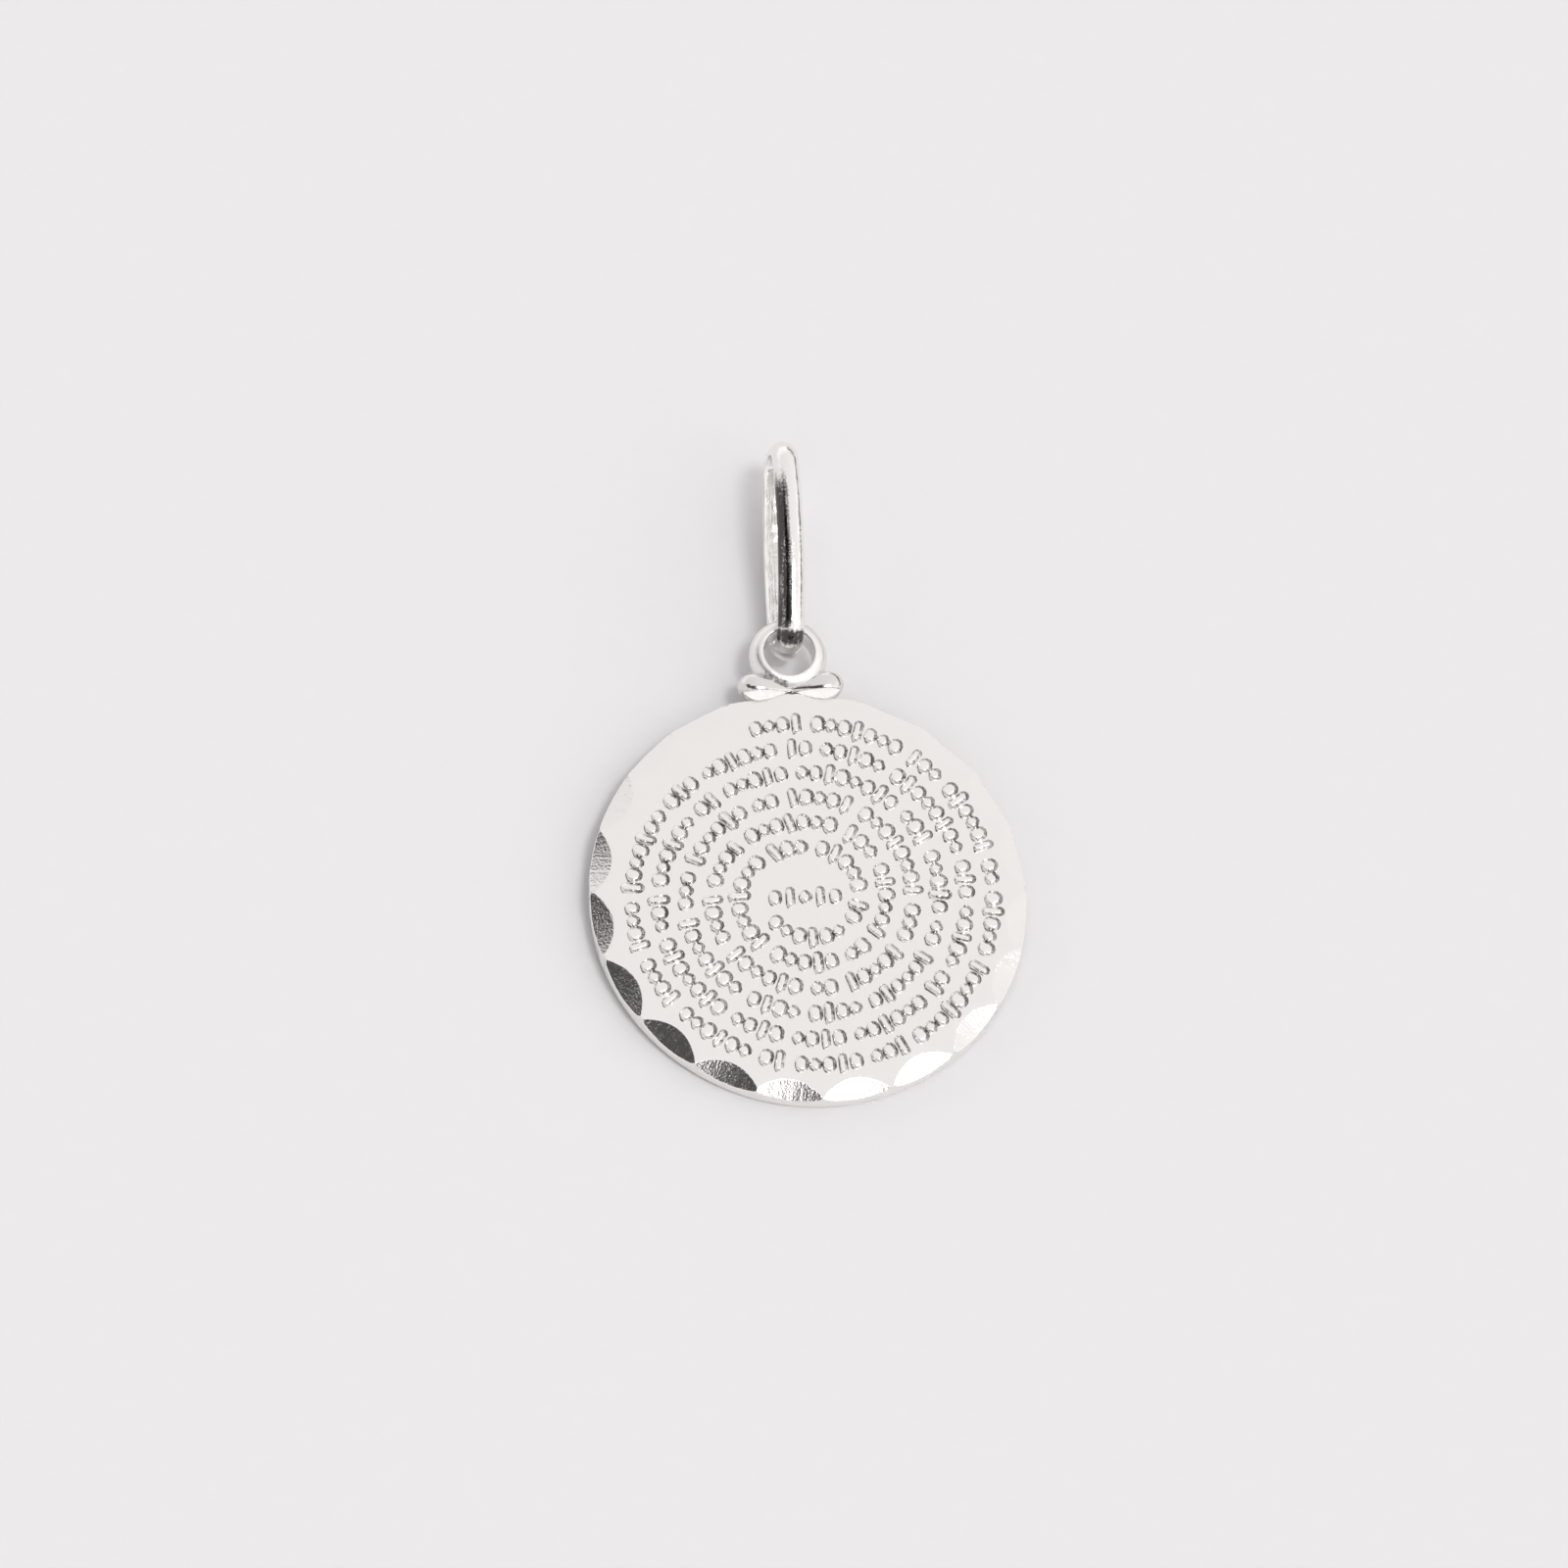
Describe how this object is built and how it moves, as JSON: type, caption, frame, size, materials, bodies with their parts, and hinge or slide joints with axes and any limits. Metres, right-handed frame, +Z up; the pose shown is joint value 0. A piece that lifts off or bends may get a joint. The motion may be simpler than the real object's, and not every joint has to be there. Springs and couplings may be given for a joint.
{
  "type": "medallion pendant",
  "caption": "Round cast silver medallion with a spiral of raised pearls and reels, half-moon cuts round its rim, a small bow, an eye and an oval bail, lying on its back.",
  "frame": {"origin": "middle of the bottom of the whole pendant's box, on the surface it lies on", "axes": "+Z up from the surface, +Y from the disc's lower edge towards the eye and the bail, +X to the right as the face is seen"},
  "size_m": [0.018, 0.029, 0.0041],
  "materials": {
    "polished_silver": "cast and polished silver, with bright half-moon cuts and a slightly softer ground between the raised rows",
    "bail_silver": "polished silver wire, with a slightly hammered flat inside"
  },
  "bodies": {
    "root": {"medallion": "polished_silver", "bail": "bail_silver"}
  },
  "joints": []
}
